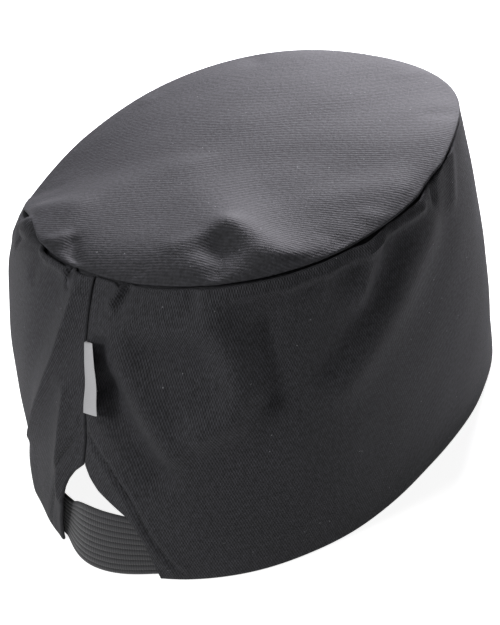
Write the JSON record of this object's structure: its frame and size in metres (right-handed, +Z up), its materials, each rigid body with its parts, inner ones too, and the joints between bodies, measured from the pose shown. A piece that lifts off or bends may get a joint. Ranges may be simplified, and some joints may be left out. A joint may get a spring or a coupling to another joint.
{
  "type": "chef skull cap",
  "caption": "Tall plain cloth skull cap with a flat oval crown, a deep side band and an elastic strap across an arched gap at the back.",
  "frame": {"origin": "under the middle of the cap's box, on the plane that the rim rests on", "axes": "+Z up from the rim to the crown, +Y towards the back seam and the strap, -Y towards the forehead, -X towards the wearer's right"},
  "size_m": [0.1744, 0.2046, 0.1233],
  "materials": {
    "cap_cloth": "matte black twill with a fine diagonal rib",
    "elastic": "matte black ribbed elastic",
    "label_tape": "smooth pale grey woven tape, bare"
  },
  "bodies": {
    "root": {"crown": "cap_cloth", "side_band": "cap_cloth", "elastic_strap": "elastic", "seam_label": "label_tape"}
  },
  "joints": []
}
